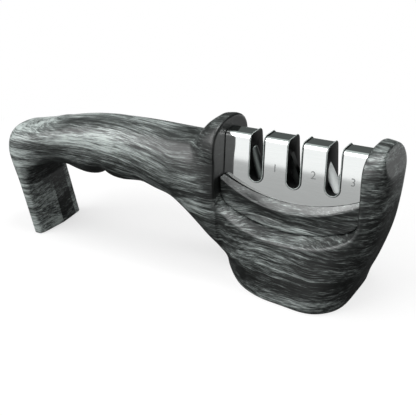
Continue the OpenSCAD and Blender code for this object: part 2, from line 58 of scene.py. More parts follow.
# Driving sizes of the body in millimetres
NOSE_REACH = 45.4
TAIL_REACH = 162.5
HORN_TOP = 77.0
NOSE_DROP = 2.0
BASE_W = 54.0
HORN_W = 41.4
SHELL_WALL = 2.6
GRIP_W = 31.0
GRIP_TOP = 67.2
GRIP_UNDER = 39.4
FINGER_SWELL = 2.9
LEG_W = 34.5
LEG_T = 9.0
HAND_GAP_R = 11.1
ELBOW_Z = 27.5
LEG_RIDGE = 1.4
SADDLE_W = 70.0
SHELF_Z = 31.5
SHELF_R = 80.0
CHAMFER_SHARE = 0.38
RIM_GAP = 0.4
PART_GAP = 0.3
FIT = 0.15

# Driving sizes of the cartridge in millimetres
SLOT_PITCH = 18.6
SLOT_W = 7.9
SLOT_Z = 49.2
COVER_TOP = 70.9
COVER_FOOT_W = 16.8
COVER_LEAN = radians(5.7)
COVER_R = 2.4
COVER_T = 0.8
RIM_WALL = 0.8
LEDGE_Z = 42.8
LEDGE_R = 76.0
LEDGE_W = 33.0
LEDGE_FALL = 1.6
TRAY_W = 32.6
TRAY_TAPER = 4.4
TRAY_SHIFT = 12.0
PLUG_L = 61.0
PLUG_Z = 29.0
PLUG_WALL = 2.4
GROOVE_DEPTH = 1.2
TRAY_HOLLOW = 0.5
# Shallow scoop in the tray's front: its middle along X and Z, its radii and its depth
SCOOP_AT = (-9.0, 37.0)
SCOOP_R = (6.0, 1.8)
SCOOP_DEPTH = 0.9
# Roundings of the tray's edges below and above, and what turns a distance along Y into one that is
# square to its leaning sides
TRAY_SIDE_BLEND = 0.6
TRAY_TOP_BLEND = 0.9
TRAY_SIDE_SLOPE = 0.97
# The frame's tongue: its foot, and how far its top stands over the ledge there
TONGUE_Z = 40.0
TONGUE_RISE = 0.5
KEEPER_T = 2.0
SMALL_HEAD_H = 1.2
# Widths of the rounded edges of the steel and of the black frame
COVER_EDGE = 0.26
FRAME_EDGE = 0.3
# Pale bead on the black rim round each slot, a painted highlight line: its radius, and how far its middle
# stands off the steel
BEAD_R = 0.22
BEAD_PROUD = 0.36
# Stage numbers: size, half their thickness and the height at which they stand
NUMBER_SIZE = 5.2
NUMBER_EXTRUDE = 0.02
NUMBER_Z = 57.5

# Shell screws: places along X and Z, the bosses' radius, the counterbores' and their seats
BOSS_R = 4.2
HEAD_BORE_R = 2.95
GRIP_SEAT = 7.0
HEAD_SEAT = 14.0
SHELL_SCREWS = [(-0.79 * TAIL_REACH, 0.75 * GRIP_TOP), (-0.52 * TAIL_REACH, 0.79 * GRIP_TOP),
                (-0.312 * TAIL_REACH, 0.565 * GRIP_TOP), (0, 0.43 * PLUG_Z),
                (0.62 * NOSE_REACH, 0.36 * PLUG_Z)]

# Grip stations: place, underside, swell, top and half width, as shares of the sizes
GRIP_SHARES = np.array([
    [-0.813, 0.98, 0, 0.9115, 0.526],
    [-0.76, 0.98, 0, 0.942, 0.51],
    [-0.724, 0.99, 0.75, 0.96, 0.5],
    [-0.693, 0.995, 1.1, 0.972, 0.497],
    [-0.663, 0.995, 0.9, 0.98, 0.494],
    [-0.627, 1, 0.05, 0.986, 0.49],
    [-0.602, 1, 0.8, 0.989, 0.49],
    [-0.565, 1, 1.1, 0.992, 0.494],
    [-0.527, 0.995, 0.8, 0.994, 0.5],
    [-0.491, 0.985, 0.5, 0.994, 0.51],
    [-0.436, 0.915, 0.3, 0.991, 0.53],
    [-0.38, 0.84, 0.1, 0.987, 0.56],
    [-0.331, 0.695, 0, 0.986, 0.585],
    [-0.283, 0.52, 0, 0.986, 0.605],
    [-0.247, 0.38, 0, 0.986, 0.61],
    [-0.212, 0.29, 0, 0.986, 0.595],
])
# Elbow stations: angle, outer radius over the hand gap's
ELBOW_SHARES = np.array([[90, 3.04], [112, 2.99], [125, 3.2], [135, 3.46], [148, 3.19],
                         [158, 2.7], [170, 2.26], [180, 2.05]])
LEG_LEAN_SHARE = 0.235
INNER_SQUARE_SHARE = 7.0
GRIP_SQUARE_SHARE = 2.5
GAP_GROWTH_SHARE = 0.135
# Head levels: height, tail, nose, flare and crown, as shares
HEAD_SHARES = np.array([
    [0, -0.49, 0.635, 0.86, 1],
    [0.012, -0.492, 0.655, 0.95, 1],
    [0.04, -0.5, 0.672, 1, 1],
    [0.1, -0.51, 0.705, 0.9, 1],
    [0.2, -0.56, 0.778, 0.7, 1],
    [0.33, -0.615, 0.86, 0.47, 1],
    [0.47, -0.65, 0.93, 0.29, 1],
    [0.62, -0.68, 0.975, 0.13, 1],
    [0.76, -0.69, 1.002, 0.03, 1],
    [0.85, -0.685, 1.012, 0, 0.995],
    [0.9, -0.665, 1.012, 0, 0.95],
    [0.94, -0.638, 1.003, 0, 0.84],
    [0.97, -0.608, 0.98, 0, 0.66],
    [0.99, -0.575, 0.94, 0, 0.43],
    [1, -0.545, 0.89, 0, 0.2],
])
# Width along the head from tail to nose, at the base and at the horns
PLAN_SHARES = np.array([[0, 0.47, 0.9], [0.2, 0.78, 0.95], [0.35, 0.9, 0.975], [0.6, 1.01, 1.02],
                        [0.85, 1.07, 1.01], [1, 0.96, 1]])
TAIL_SQUARE_SHARES = (2.2, 4.8)
NOSE_SQUARE_SHARE = 4.6
HORN_PART_SHARE = 0.8
# Flat facet at the nose horn's top: where it starts, in millimetres, its lean and its edge's blend
FACET_X = 45.6
FACET_Z = 64.0
FACET_LEAN = radians(20)
FACET_BLEND = 0.6

# Blend radii in millimetres: grip into head, edges of the saddle low and high, shelf into horns,
# and edge of the horns' tops
NECK_BLEND = 4.0
EDGE_BLEND = 1.3
HORN_BLEND = 2.0
SHELF_BLEND = 5.8
TOP_BLEND = 1.5
# The saddle's edge blend grows from the low one to the high one from this height over this rise
EDGE_GROWS_Z = 42.0
EDGE_GROWTH = 16.0

# Sizes of the cells that the body and the tray are meshed with, and their grids' low and high corners
BODY_CELL = 0.6
TRAY_CELL = 0.45
SHELL_GRID = ((-168, -2 * BODY_CELL, -2.4), (49, 31, 80))
TRAY_GRID = ((-36, -20, PLUG_Z - 1), (36, 20, 54))
# Settling of a mesh: rounds, how many of them even the corners out, by what share of the way, and
# the longest step onto the surface in millimetres
SETTLE_ROUNDS = 3
EVEN_ROUNDS = 2
EVEN_SHARE = 0.5
SETTLE_REACH = 0.4
# Distance over which a field's slope is measured, and what keeps its square above zero
PROBE = 0.15
TINY = 1e-8
# How far past the middle and the table the shells are meshed before they are cut there, and half the
# width of the seam between them
LID = 1.0
SEAM = 0.05
# Ends of the cutters outside the part: behind it, above it, and to either side and in front
BEHIND = -200.0
ABOVE = 100.0
ASIDE = 60.0
# Corners closer than this, in metres, are joined, and faces that bend less than this are one
MERGE_DISTANCE = 2e-6
FLAT_ANGLE = radians(0.6)

# Grain of the print: radius of the circle that stands for the way round the handle, its twist for
# each millimetre along, the elbow's mean radius, and where the head's grain and the leg's take over
GRAIN_R = 14.0
GRAIN_TWIST = 0.006
ELBOW_MEAN_R = 25.0
HEAD_GRAIN_FROM, HEAD_GRAIN_TO = -74.0, -52.0
LEG_GRAIN_FROM, LEG_GRAIN_TO = -116.0, -142.0

ELBOW_X = GRIP_SHARES[0, 0] * TAIL_REACH
GRIP_END = GRIP_SHARES[-1, 0] * TAIL_REACH


def curve(table, t, column):
    """Smooth curve through a table's rows: a column's value at t."""
    places, values = table[:, 0], table[:, column]
    step = np.diff(places)
    rise = np.diff(values) / step
    slope = np.empty(len(values))
    slope[0], slope[-1] = rise[0], rise[-1]
    slope[1:-1] = (rise[:-1] * step[1:] + rise[1:] * step[:-1]) / (step[:-1] + step[1:])
    k = np.clip(np.searchsorted(places, t) - 1, 0, len(step) - 1)
    u = np.clip((t - places[k]) / step[k], 0, 1)
    v = 1 - u
    return (values[k] * (1 + 2 * u) * v * v + values[k + 1] * u * u * (3 - 2 * u)
            + step[k] * u * v * (slope[k] * v - slope[k + 1] * u))


def smooth_max(a, b, k):
    """The larger of two fields, with the corner between them rounded over k."""
    h = np.maximum(k - np.abs(a - b), 0) / k
    return np.maximum(a, b) + h * h * k / 4


def smooth_min(a, b, k):
    """The smaller of two fields, with the corner between them rounded over k."""
    return -smooth_max(-a, -b, k)


def ease(t):
    """Smooth step from 0 to 1."""
    return t * t * (3 - 2 * t)


def oval(u, v, n):
    """Squared-off radius of a point: 1 on the outline."""
    return np.power(np.power(np.abs(u), n) + np.power(np.abs(v), n), 1 / n)


def head_field(x, y, z):
    """The head with its horns: 0 on the outside, negative within."""
    level = z
    for _ in range(2):
        level = z + NOSE_DROP * (np.clip(level, 0, HORN_TOP) / HORN_TOP) ** 2 * (x / NOSE_REACH + 1) / 2
    s = np.clip(level / HORN_TOP, 0, 1)
    tail, nose = SADDLE_W * curve(HEAD_SHARES, s, 1), NOSE_REACH * curve(HEAD_SHARES, s, 2)
    u = (2 * x - tail - nose) / (nose - tail)
    f = np.clip(s / HORN_PART_SHARE, 0, 1)
    place = np.clip((u + 1) / 2, 0, 1)
    plan = curve(PLAN_SHARES, place, 1) * (1 - f) + curve(PLAN_SHARES, place, 2) * f
    half_w = (HORN_W + (BASE_W - HORN_W) * curve(HEAD_SHARES, s, 3)) / 2
    v = y / (half_w * plan * curve(HEAD_SHARES, s, 4))
    n = np.where(u < 0, TAIL_SQUARE_SHARES[0] * (1 - f) + TAIL_SQUARE_SHARES[1] * f, NOSE_SQUARE_SHARE)
    return oval(u, v, n) - 1


def handle_place(x, z, swell=FINGER_SWELL):
    """Where a point lies in the handle: height over its inner face, thickness, half width, and how
    far it has turned from the leg (0) into the grip (1)."""
    dx, dz = x - ELBOW_X, z - ELBOW_Z
    angle = np.degrees(np.arctan2(np.maximum(dz, 0), dx))
    in_leg = (dx < 0) & (dz < 0)
    in_elbow = (dx < 0) & ~in_leg
    gap = HAND_GAP_R * (1 + GAP_GROWTH_SHARE * (angle - 90) / 90)
    leg_gap = HAND_GAP_R * (1 + GAP_GROWTH_SHARE)
    # Distance from the inner face and thickness in each zone
    t = x / TAIL_REACH
    under = GRIP_UNDER * curve(GRIP_SHARES, t, 1) - swell * curve(GRIP_SHARES, t, 2)
    top = GRIP_TOP * curve(GRIP_SHARES, t, 3)
    top_t = HAND_GAP_R * ELBOW_SHARES[-1, 1] - leg_gap
    leg_x = ELBOW_X - leg_gap + (ELBOW_Z - z) * LEG_LEAN_SHARE
    leg_t = LEG_T + (top_t - LEG_T) * np.clip(z, 0, ELBOW_Z) / ELBOW_Z
    outer = HAND_GAP_R * curve(ELBOW_SHARES, angle, 1)
    rise = np.where(in_leg, leg_x - x, np.where(in_elbow, np.hypot(dx, dz) - gap, z - under))
    thick = np.where(in_leg, leg_t, np.where(in_elbow, outer - gap, top - under))
    turned = np.where(in_leg, 0, np.where(in_elbow, (180 - angle) / 90, 1))
    half_w = np.where(dx < 0, LEG_W / 2 * (1 - turned) + GRIP_W * GRIP_SHARES[0, 4] * turned,
                      GRIP_W * curve(GRIP_SHARES, t, 4))
    return rise, thick, half_w, turned


def handle_field(x, y, z):
    """The grip, elbow and leg: 0 on the outside, negative within."""
    rise, thick, half_w, turned = handle_place(x, z)
    half_t = thick / 2
    s = rise - half_t
    v = np.abs(y) / half_w
    ridge = LEG_RIDGE * (1 - turned) * np.minimum(v, 1)
    u = np.where(s < 0, s / (half_t - ridge), s / half_t)
    n_in = INNER_SQUARE_SHARE * (1 - turned) + GRIP_SQUARE_SHARE * turned
    n = np.where(s < 0, n_in, GRIP_SQUARE_SHARE)
    return oval(u, v, n) - 1


def smile(z, r, x):
    """Height of an arc of radius r at x, lowest in the middle at z."""
    return z + r - np.sqrt(r * r - x * x)


def shelf_level(x):
    """Height of the shelf, and its slope's size."""
    return smile(SHELF_Z, SHELF_R, x), np.abs(x) / np.sqrt(SHELF_R ** 2 - x * x)


def tray_half(w, x):
    """Half width of the tray at x, where w is its full width at the widest place."""
    return (w - TRAY_TAPER * (2 * (x - TRAY_SHIFT) / SADDLE_W) ** 2) / 2


def saddle_field(x, y, z):
    """Distance to the space between the horns and above the shelf, negative in it."""
    xs = np.clip(x, -SADDLE_W / 2, SADDLE_W / 2)
    out = np.maximum(np.abs(y) - tray_half(TRAY_W, xs) - PART_GAP, 0)
    level, slope = shelf_level(xs)
    shelf = level - CHAMFER_SHARE * out
    fall = np.where(out > 0, CHAMFER_SHARE, 0)
    below = (shelf - z) / np.sqrt(1 + slope ** 2 + fall ** 2)
    return smooth_max(below, np.abs(x) - SADDLE_W / 2, SHELF_BLEND)


def join_fields(head, handle, x, y, z):
    """The shells' field from the head's and the handle's distances."""
    head = smooth_max(head, z - HORN_TOP + NOSE_DROP * (x / NOSE_REACH + 1) / 2, TOP_BLEND)
    facet = (x - FACET_X) * cos(FACET_LEAN) + (z - FACET_Z) * sin(FACET_LEAN)
    head = smooth_max(head, facet, FACET_BLEND)
    handle = np.maximum(handle, x - GRIP_END)
    body = smooth_min(head, handle, NECK_BLEND)
    edge = EDGE_BLEND + (HORN_BLEND - EDGE_BLEND) * ease(np.clip((z - EDGE_GROWS_Z) / EDGE_GROWTH, 0, 1))
    body = smooth_max(body, -saddle_field(x, y, z), edge)
    hollow = body + SHELL_WALL
    for px, pz in SHELL_SCREWS:
        hollow = np.maximum(hollow, BOSS_R - np.hypot(x - px, z - pz))
    return np.maximum(body, -hollow)


def body_on_grid(x, y, z, step):
    """The shells' field on a grid, with slopes from neighbouring points."""
    parts = []
    for raw in (head_field, handle_field):
        values = raw(x, y, z)
        slopes = np.gradient(values, step)
        parts.append(values / np.sqrt(sum(g * g for g in slopes) + TINY))
    return join_fields(parts[0], parts[1], x, y, z)


def body_at_points(p):
    """The shells' field at any points, with slopes measured close round each."""
    parts = []
    x, y, z = p.T
    for raw in (head_field, handle_field):
        values = raw(x, y, z)
        total = 0
        for shift in PROBE * np.eye(3):
            ahead, behind = raw(*(p + shift).T), raw(*(p - shift).T)
            total = total + ((ahead - behind) / (2 * PROBE)) ** 2
        parts.append(values / np.sqrt(total + TINY))
    return join_fields(parts[0], parts[1], x, y, z)


def tray_field(x, y, z):
    """The tray and its plug, before its pockets are cut."""
    xs = np.clip(x, -SADDLE_W / 2, SADDLE_W / 2)
    level, slope = shelf_level(xs)
    low, high = level + PART_GAP, smile(LEDGE_Z, LEDGE_R, xs)
    ledge_slope = np.abs(xs) / np.sqrt(LEDGE_R ** 2 - xs ** 2)
    part = np.clip((z - low) / (high - low), 0, 1)
    foot, top = tray_half(TRAY_W, xs), tray_half(LEDGE_W, xs)
    half_w = foot * (1 - part) + top * part - 4 * TRAY_HOLLOW * part * (1 - part)
    scoop = np.exp(-((x - SCOOP_AT[0]) / SCOOP_R[0]) ** 2 - ((z - SCOOP_AT[1]) / SCOOP_R[1]) ** 2)
    half_w = half_w - SCOOP_DEPTH * scoop * (y < 0)
    side = (np.abs(y) - half_w) * TRAY_SIDE_SLOPE
    inner = COVER_FOOT_W / 2 + FIT
    outward = np.clip((np.abs(y) - inner) / (top - inner), 0, 1)
    fall = LEDGE_FALL * (1 - (xs / COVER_HALF_L) ** 2) * outward
    above = (z - high + fall) / np.sqrt(1 + ledge_slope ** 2)
    below = (low - z) / np.sqrt(1 + slope ** 2)
    end = np.abs(x) - SADDLE_W / 2 + PART_GAP
    tray = smooth_max(smooth_max(below, end, SHELF_BLEND), side, TRAY_SIDE_BLEND)
    tray = smooth_max(tray, above, TRAY_TOP_BLEND)
    plug = np.maximum(np.abs(x) - PLUG_L / 2, np.abs(y) - PLUG_HALF_W)
    plug = np.maximum(plug, np.maximum(PLUG_Z - z, z - (low + high) / 2))
    return np.minimum(tray, plug)


def cover_half(z, inset=0.0):
    """Half width of the steel cover's outer face at a height."""
    return COVER_FOOT_W / 2 - (z - LEDGE_Z) * tan(COVER_LEAN) - inset / cos(COVER_LEAN)


# Sizes that follow from those above
TONGUE_HALF_L = PLUG_L / 2 - PLUG_WALL - FIT
TONGUE_TOP = smile(LEDGE_Z, LEDGE_R, TONGUE_HALF_L) + TONGUE_RISE
TONGUE_HALF_W = cover_half(TONGUE_TOP, COVER_T + FIT) - FIT
PLUG_HALF_W = TONGUE_HALF_W + FIT + PLUG_WALL
POCKET_Z = TONGUE_Z - KEEPER_T - SMALL_HEAD_H - FIT
COVER_HALF_L = SADDLE_W / 2 - PART_GAP


def cells_to_mesh(values, low, step):
    """Corners and quads of the zero surface of a grid of values."""
    inside = values < 0
    shape = tuple(n - 1 for n in values.shape)
    total, count = np.zeros(shape + (3,)), np.zeros(shape)
    spans = [slice(None, -1), slice(1, None)]
    quads = []
    crossings = []
    for axis in range(3):
        first, second = [slice(None)] * 3, [slice(None)] * 3
        first[axis], second[axis] = spans
        a, b = values[tuple(first)], values[tuple(second)]
        crossed = inside[tuple(first)] != inside[tuple(second)]
        crossings.append((crossed, inside[tuple(first)]))
        where = np.nonzero(crossed)
        place = np.stack(where, 1).astype(float)
        place[:, axis] += a[where] / (a[where] - b[where])
        others = [k for k in range(3) if k != axis]
        for du in (0, 1):
            for dv in (0, 1):
                cell = np.stack(where, 1)
                cell[:, others[0]] -= du
                cell[:, others[1]] -= dv
                good = np.all((cell >= 0) & (cell < shape), axis=1)
                flat = np.ravel_multi_index(tuple(cell[good].T), shape)
                for k in range(3):
                    total.reshape(-1, 3)[:, k] += np.bincount(flat, place[good, k], count.size)
                count.reshape(-1)[:] += np.bincount(flat, minlength=count.size)
    active = count > 0
    number = np.full(shape, -1)
    number[active] = np.arange(active.sum())
    points = np.array(low) + step * (total[active] / count[active][:, None])
    for axis in range(3):
        crossed, starts_inside = crossings[axis]
        where = np.stack(np.nonzero(crossed), 1)
        others = [(axis + 1) % 3, (axis + 2) % 3]
        keep = np.all([(where[:, k] > 0) & (where[:, k] < shape[k]) for k in others], axis=0)
        where = where[keep]
        ring = []
        for du, dv in ((1, 1), (0, 1), (0, 0), (1, 0)):
            cell = where.copy()
            cell[:, others[0]] -= du
            cell[:, others[1]] -= dv
            ring.append(number[tuple(cell.T)])
        ring = np.stack(ring, 1)
        flip = ~starts_inside[tuple(where.T)]
        ring[flip] = ring[flip][:, ::-1]
        quads.append(ring)
    return points, np.concatenate(quads)


def corner_normals(points, quads):
    """Unit normal at each corner, from the quads round it."""
    faces = np.cross(points[quads[:, 2]] - points[quads[:, 0]], points[quads[:, 3]] - points[quads[:, 1]])
    normals = np.zeros_like(points)
    for k in range(3):
        for c in range(4):
            normals[:, k] += np.bincount(quads[:, c], faces[:, k], len(points))
    return normals / np.maximum(np.linalg.norm(normals, axis=1, keepdims=True), 1e-9)


def settle(points, quads, field):
    """Evens the corners out along the surface and moves them onto it."""
    sides = [quads[:, [k, (k + 1) % 4]] for k in range(4)]
    one, other = np.concatenate(sides).T
    number = np.bincount(one, minlength=len(points)) + np.bincount(other, minlength=len(points))
    for turn in range(SETTLE_ROUNDS):
        if turn < EVEN_ROUNDS:
            middle = np.zeros_like(points)
            for k in range(3):
                middle[:, k] = (np.bincount(one, points[other, k], len(points))
                                + np.bincount(other, points[one, k], len(points))) / number
            points = points + EVEN_SHARE * (middle - points)
        normals = corner_normals(points, quads)
        points = points - np.clip(field(points), -SETTLE_REACH, SETTLE_REACH)[:, None] * normals
    return points


def field_grid(low, high, step):
    """Coordinates of a grid's points between two corners."""
    axes = [np.arange(a, b + step, step) for a, b in zip(low, high)]
    return np.meshgrid(*axes, indexing="ij")


def add_object(name, data):
    """New object in the scene."""
    obj = bpy.data.objects.new(name, data)
    bpy.context.scene.collection.objects.link(obj)
    return obj


def mesh_object(name, points, faces):
    """New object in the scene, from points in millimetres."""
    mesh = bpy.data.meshes.new(name)
    mesh.from_pydata((np.asarray(points, float) * MM).tolist(), [], [list(map(int, f)) for f in faces])
    mesh.update()
    return add_object(name, mesh)


def prism(outline, axis, low, high):
    """Closed solid: an outline of (a, b) points in the plane across an axis, swept along it."""
    n = len(outline)
    points = []
    for level in (low, high):
        for a, b in outline:
            p = {"x": (level, a, b), "y": (a, level, b), "z": (a, b, level)}[axis]
            points.append(p)
    faces = [list(range(n))[::-1], list(range(n, 2 * n))]
    faces += [[i, (i + 1) % n, n + (i + 1) % n, n + i] for i in range(n)]
    if axis == "y":
        faces = [f[::-1] for f in faces]
    return points, faces


def closed_mesh(name, parts):
    """Object of one or several closed solids."""
    points, faces = [], []
    for p, f in parts:
        faces += [[i + len(points) for i in face] for face in f]
        points += list(p)
    obj = mesh_object(name, points, faces)
    bm = bmesh.new()
    bm.from_mesh(obj.data)
    bmesh.ops.recalc_face_normals(bm, faces=bm.faces[:])
    bm.to_mesh(obj.data)
    bm.free()
    return obj


def drawn_mesh(obj):
    """Mesh of an object as it is drawn, with its modifiers or its curve's thickness."""
    depsgraph = bpy.context.evaluated_depsgraph_get()
    depsgraph.update()
    return bpy.data.meshes.new_from_object(obj.evaluated_get(depsgraph))


def cut_with(obj, cutter, operation="DIFFERENCE"):
    """Cuts an object with another one, which is removed."""
    mod = obj.modifiers.new("cut", "BOOLEAN")
    mod.operation = operation
    mod.object = cutter
    mod.solver = "MANIFOLD"
    made = drawn_mesh(obj)
    obj.modifiers.clear()
    old = obj.data
    obj.data = made
    made.name = obj.name
    bpy.data.meshes.remove(old)
    bpy.data.objects.remove(cutter)


def block_solid(x, y, z):
    """Box from three (low, high) pairs."""
    return prism([(x[0], y[0]), (x[1], y[0]), (x[1], y[1]), (x[0], y[1])], "z", z[0], z[1])


def round_outline(cx, cy, r):
    """Circle as (a, b) points."""
    count = 48
    return [(cx + r * cos(2 * pi * i / count), cy + r * sin(2 * pi * i / count)) for i in range(count)]


def shade(obj, angle):
    """Smooth shading, with edges that bend more than an angle in degrees kept sharp."""
    obj.data.polygons.foreach_set("use_smooth", [True] * len(obj.data.polygons))
    obj.data.set_sharp_from_angle(angle=radians(angle))


def dress(obj, material):
    """Gives an object one material in place of what it has."""
    obj.data.materials.clear()
    obj.data.materials.append(material)


def coordinates(obj):
    """Places of a mesh's corners in millimetres."""
    co = np.empty(len(obj.data.vertices) * 3)
    obj.data.vertices.foreach_get("co", co)
    return co.reshape(-1, 3) / MM


def add_grain(obj, head_only=False):
    """Stores for each corner its place in the grain of the handle (along it, and round it on a
    circle) and of the head, in millimetres, and which of the two holds there."""
    x, y, z = coordinates(obj).T
    rise, thick, half_w, turned = handle_place(np.minimum(x, GRIP_END), z, swell=0)
    turn = (1 - turned) * pi / 2
    along = np.maximum(x - ELBOW_X, 0) - turn * ELBOW_MEAN_R - np.where(turned == 0, ELBOW_Z - z, 0)
    angle = np.arctan2(y / half_w, 2 * rise / thick - 1) + GRAIN_TWIST * along
    share = np.clip(np.maximum((x - HEAD_GRAIN_FROM) / (HEAD_GRAIN_TO - HEAD_GRAIN_FROM),
                               (x - LEG_GRAIN_FROM) / (LEG_GRAIN_TO - LEG_GRAIN_FROM)), 0, 1)
    if head_only:
        share = np.ones_like(x)
    for name, vectors in (("grain", [along, GRAIN_R * np.cos(angle), GRAIN_R * np.sin(angle)]),
                          ("layers", [x, z, y])):
        layer = obj.data.attributes.new(name, "FLOAT_VECTOR", "POINT")
        layer.data.foreach_set("vector", np.stack(vectors, 1).ravel())
    layer = obj.data.attributes.new("head_share", "FLOAT", "POINT")
    layer.data.foreach_set("value", ease(share))


def build_shells():
    """Both halves of the body. The back one is meshed and cut, and the front one is its mirror
    image without the bores for the screws."""
    low, high = SHELL_GRID
    x, y, z = field_grid(low, high, BODY_CELL)
    values = np.maximum(body_on_grid(x, y, z, BODY_CELL), np.maximum(-y - LID, -z - LID))
    points, quads = cells_to_mesh(values, low, BODY_CELL)

    def field(p):
        return np.maximum(body_at_points(p), np.maximum(-p[:, 1] - LID, -p[:, 2] - LID))

    points = settle(points, quads, field)
    points[:, 0] = np.clip(points[:, 0], cad_box[0][0] / MM, cad_box[1][0] / MM)
    points[:, 1] = np.minimum(points[:, 1], cad_box[1][1] / MM)
    back = mesh_object("back_shell_body", points, quads)
    keep = block_solid((BEHIND, ASIDE), (SEAM, ASIDE), (RIM_GAP, ABOVE))
    cut_with(back, closed_mesh("keep", [keep]), "INTERSECT")
    hole_l, hole_w = PLUG_L / 2 + PART_GAP, PLUG_HALF_W + PART_GAP
    hole = block_solid((-hole_l, hole_l), (-hole_w, hole_w), (PLUG_Z, ABOVE))
    cut_with(back, closed_mesh("hole", [hole]))
    front = add_object("front_shell_body", back.data.copy())
    front.data.transform(Matrix.Scale(-1, 4, Vector((0, 1, 0))))
    front.data.flip_normals()
    bores = []
    for px, pz in SHELL_SCREWS:
        seat = GRIP_SEAT if px < -SADDLE_W / 2 else HEAD_SEAT
        bores.append(prism(round_outline(px, pz, HEAD_BORE_R), "y", seat, ASIDE))
    cut_with(back, closed_mesh("bores", bores))
    for obj, node in ((back, "back_shell"), (front, "front_shell")):
        shade(obj, angle=40)
        add_grain(obj)
        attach(obj, "body")
        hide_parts(node)
        dress(obj, wood_material())


def above_ledge(reach, steps, drop):
    """Outline of the space above the ledge's curve, lowered by a drop, as (x, z) points."""
    places = [reach * (2 * i / steps - 1) for i in range(steps + 1)]
    floor = [(x, float(smile(LEDGE_Z, LEDGE_R, x)) - drop) for x in places]
    return floor + [(reach, ABOVE), (-reach, ABOVE)]


def build_tray():
    """The tray with its plug, the pocket for the frame's tongue and the groove for the steel."""
    low, high = TRAY_GRID
    x, y, z = field_grid(low, high, TRAY_CELL)
    points, quads = cells_to_mesh(tray_field(x, y, z), low, TRAY_CELL)
    points = settle(points, quads, lambda p: tray_field(*p.T))
    tray = mesh_object("cartridge_tray_body", points, quads)
    pocket_l, pocket_w = TONGUE_HALF_L + FIT, TONGUE_HALF_W + FIT
    pocket = block_solid((-pocket_l, pocket_l), (-pocket_w, pocket_w), (POCKET_Z, ABOVE))
    cut_with(tray, closed_mesh("pocket", [pocket]))
    groove_w = cover_half(smile(LEDGE_Z, LEDGE_R, 0) - GROOVE_DEPTH) + FIT
    outline = above_ledge(reach=COVER_HALF_L + FIT, steps=40, drop=GROOVE_DEPTH)
    cut_with(tray, closed_mesh("groove", [prism(outline, "y", -groove_w, groove_w)]))
    shade(tray, angle=40)
    add_grain(tray, head_only=True)
    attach(tray, "cartridge")
    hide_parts("cartridge_tray")
    dress(tray, wood_material())


def cover_outline(inset, low):
    """Cover's section across X as (y, z) points, inset from its outer face."""
    zc = COVER_TOP - COVER_R
    yc = cover_half(zc, COVER_R)
    side = [(cover_half(low, inset), low)]
    steps = 14
    for i in range(steps + 1):
        a = COVER_LEAN + (pi / 2 - COVER_LEAN) * i / steps
        side.append((yc + (COVER_R - inset) * cos(a), zc + (COVER_R - inset) * sin(a)))
    return side + [(-a, b) for a, b in side[::-1]]


def slot_outline(at):
    """U slot as (x, z) points, open at the top."""
    r = SLOT_W / 2
    centre = SLOT_Z + SLOT_W / 2
    steps = 32
    bottom = [(at - r * cos(pi * i / steps), centre - r * sin(pi * i / steps)) for i in range(steps + 1)]
    return [(at - r, ABOVE)] + bottom + [(at + r, ABOVE)]


def round_edges(obj, width, angle, segments, edge_slot=-1):
    """Joins flat faces and bevels the sharp edges, with a material slot of their own if one is given."""
    bm = bmesh.new()
    bm.from_mesh(obj.data)
    bmesh.ops.remove_doubles(bm, verts=bm.verts[:], dist=MERGE_DISTANCE)
    bmesh.ops.dissolve_limit(bm, angle_limit=FLAT_ANGLE, verts=bm.verts[:], edges=bm.edges[:])
    sharp = [e for e in bm.edges if len(e.link_faces) == 2 and e.calc_face_angle(0) > radians(angle)]
    bmesh.ops.bevel(bm, geom=sharp, offset=width * MM, segments=segments, profile=0.5, affect="EDGES",
                    clamp_overlap=True, material=edge_slot)
    bm.to_mesh(obj.data)
    bm.free()


def straighten_bends(cover):
    """Exact normals on the sheet's faces, so that reflections run straight along its bends."""
    mesh = cover.data
    zc = COVER_TOP - COVER_R
    yc = cover_half(zc, COVER_R)
    same_way = 0.95
    normals = [tuple(corner.vector) for corner in mesh.corner_normals]
    for face in mesh.polygons:
        for corner in face.loop_indices:
            place = mesh.vertices[mesh.loops[corner].vertex_index].co / MM
            turn = max(COVER_LEAN, min(pi / 2, atan2(place.z - zc, abs(place.y) - yc)))
            out = Vector((0, cos(turn) * (1 if place.y > 0 else -1), sin(turn)))
            facing = face.normal.dot(out)
            if abs(facing) > same_way:
                normals[corner] = tuple(out if facing > 0 else -out)
    mesh.normals_split_custom_set(normals)


def build_cover():
    """The steel cover: a bent sheet that stands in the tray's groove, with three slots."""
    low = LEDGE_Z - 2 * GROOVE_DEPTH
    sheet = prism(cover_outline(0, low), "x", -COVER_HALF_L, COVER_HALF_L)
    cover = closed_mesh("steel_cover_sheet", [sheet])
    inside = prism(cover_outline(COVER_T, low - 5), "x", -ASIDE, ASIDE)
    cut_with(cover, closed_mesh("inside", [inside]))
    outline = above_ledge(reach=40.0, steps=60, drop=GROOVE_DEPTH - FIT)
    cut_with(cover, closed_mesh("above", [prism(outline, "y", -ASIDE, ASIDE)]), "INTERSECT")
    slots = [prism(slot_outline(at), "y", -ASIDE, ASIDE) for at in (-SLOT_PITCH, 0, SLOT_PITCH)]
    cut_with(cover, closed_mesh("slots", slots))
    round_edges(cover, COVER_EDGE, angle=35, segments=3)
    shade(cover, angle=30)
    straighten_bends(cover)
    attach(cover, "cartridge")
    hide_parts("steel_cover")
    dress(cover, steel_material())


def build_slot_frame():
    """The black frame: the CAD node's mesh with rounded edges, which have a material of their own, light
    grey as a painted highlight.
    """
    rims = add_object("slot_frame_rims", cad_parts["slot_frame"].data.copy())
    round_edges(rims, FRAME_EDGE, angle=30, segments=2, edge_slot=1)
    shade(rims, angle=30)
    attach(rims, "cartridge")
    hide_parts("slot_frame")
    rims.data.materials[0] = black_plastic()
    rims.data.materials.append(painted_highlight_edge())


